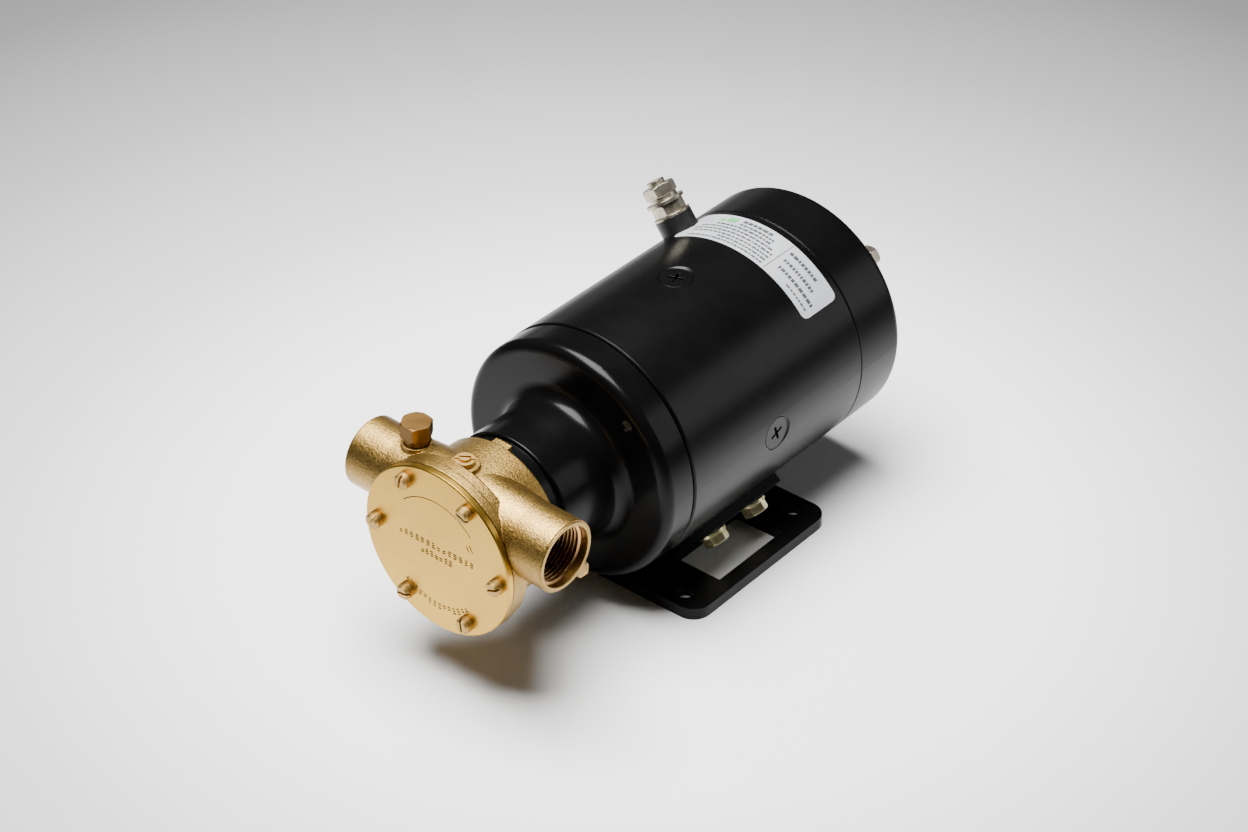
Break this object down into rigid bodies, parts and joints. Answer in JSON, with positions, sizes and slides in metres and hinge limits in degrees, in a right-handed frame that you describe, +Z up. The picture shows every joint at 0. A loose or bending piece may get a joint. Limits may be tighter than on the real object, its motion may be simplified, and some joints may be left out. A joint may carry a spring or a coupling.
{
  "type": "bilge pump",
  "caption": "Electric bilge pump: bronze flexible-impeller head with two side ports, six-screw cover, round black DC motor, stud terminal and slotted foot plate.",
  "frame": {"origin": "centre of the four foot-plate holes, on the underside of the plate", "axes": "+Z up, +Y along the shaft from the pump cover to the rear of the motor, ports open along -X and +X"},
  "size_m": [0.117, 0.2482, 0.1305],
  "materials": {
    "frame_black": "satin black enamel",
    "cast_bronze": "cast gunmetal bronze with a blasted skin",
    "rolled_brass": "turned and rolled brass",
    "zinc_steel": "yellow-passivated zinc on steel",
    "nickel": "nickel-plated brass",
    "steel": "machined steel",
    "laminations": "varnished core laminations",
    "copper": "copper",
    "cage_brass": "pressed brass cage",
    "carbon": "electro-graphite",
    "phenolic": "black phenolic moulding",
    "nitrile": "black nitrile rubber",
    "gasket_paper": "oiled gasket paper",
    "label_foil": "silver printed foil"
  },
  "bodies": {
    "frame": {"base_plate": "frame_black", "cradle": "frame_black", "weld_fillets": "frame_black", "cradle_bolts": "zinc_steel", "cradle_washers": "zinc_steel", "motor_case": "frame_black", "front_bell": "frame_black", "rear_cover": "frame_black", "pole_shoes": "steel", "field_coils": "copper", "pole_screws": "frame_black", "through_bolts": "nickel", "front_bearing_outer": "steel", "rear_bearing_outer": "steel", "bearing_circlip": "steel", "brush_plate": "phenolic", "brush_boxes": "rolled_brass", "brush_spring_1": "steel", "brush_spring_2": "steel", "brush_spring_3": "steel", "brush_spring_4": "steel", "terminal_insulator": "phenolic", "terminal_stud": "nickel", "terminal_thin_washer": "nickel", "terminal_lower_nut": "nickel", "terminal_wide_washer": "nickel", "terminal_spring_washer": "nickel", "terminal_upper_nut": "nickel", "rating_label": "label_foil", "pump_body": "cast_bronze", "end_cover": "rolled_brass", "cover_gasket": "gasket_paper", "cover_screws": "rolled_brass", "cam": "cast_bronze", "cam_screw": "rolled_brass", "wear_plate": "steel", "shaft_seal": "nitrile", "priming_plug": "cast_bronze", "bonding_screw": "rolled_brass", "neck_screw": "rolled_brass"},
    "rotor": {"shaft": "steel", "armature_core": "laminations", "armature_windings": "copper", "commutator": "copper", "front_bearing_inner": "steel", "rear_bearing_inner": "steel", "impeller_hub": "nitrile", "impeller_vanes": "nitrile", "drive_key": "steel", "slinger": "nitrile"},
    "front_ball_set": {"front_bearing_balls": "steel", "front_bearing_cage": "cage_brass"},
    "rear_ball_set": {"rear_bearing_balls": "steel", "rear_bearing_cage": "cage_brass"},
    "brush_1": {"brush_1": "carbon"},
    "brush_2": {"brush_2": "carbon"},
    "brush_3": {"brush_3": "carbon"},
    "brush_4": {"brush_4": "carbon"}
  },
  "joints": [
    {"name": "rotor_spin", "type": "hinge", "parent": "frame", "child": "rotor", "pos_m": [0, 0, 0.065], "axis": [0, 1, 0], "continuous": true, "deforming": ["impeller_vanes"]},
    {"name": "front_balls_spin", "type": "hinge", "parent": "frame", "child": "front_ball_set", "pos_m": [0, -0.052, 0.065], "axis": [0, 1, 0], "continuous": true},
    {"name": "rear_balls_spin", "type": "hinge", "parent": "frame", "child": "rear_ball_set", "pos_m": [0, 0.0905, 0.065], "axis": [0, 1, 0], "continuous": true},
    {"name": "brush_1_slide", "type": "slide", "parent": "frame", "child": "brush_1", "axis": [0.7071, 0, 0.7071], "range_m": [0, 0.005], "stiffness_N_per_m": 600, "springref_m": -0.006, "deforming": ["brush_spring_1"]},
    {"name": "brush_2_slide", "type": "slide", "parent": "frame", "child": "brush_2", "axis": [-0.7071, 0, 0.7071], "range_m": [0, 0.005], "stiffness_N_per_m": 600, "springref_m": -0.006, "deforming": ["brush_spring_2"]},
    {"name": "brush_3_slide", "type": "slide", "parent": "frame", "child": "brush_3", "axis": [-0.7071, 0, -0.7071], "range_m": [0, 0.005], "stiffness_N_per_m": 600, "springref_m": -0.006, "deforming": ["brush_spring_3"]},
    {"name": "brush_4_slide", "type": "slide", "parent": "frame", "child": "brush_4", "axis": [0.7071, 0, -0.7071], "range_m": [0, 0.005], "stiffness_N_per_m": 600, "springref_m": -0.006, "deforming": ["brush_spring_4"]}
  ],
  "couplings": [
    {"joint": "front_balls_spin", "follows": "rotor_spin", "ratio": 0.3877},
    {"joint": "rear_balls_spin", "follows": "rotor_spin", "ratio": 0.384}
  ]
}
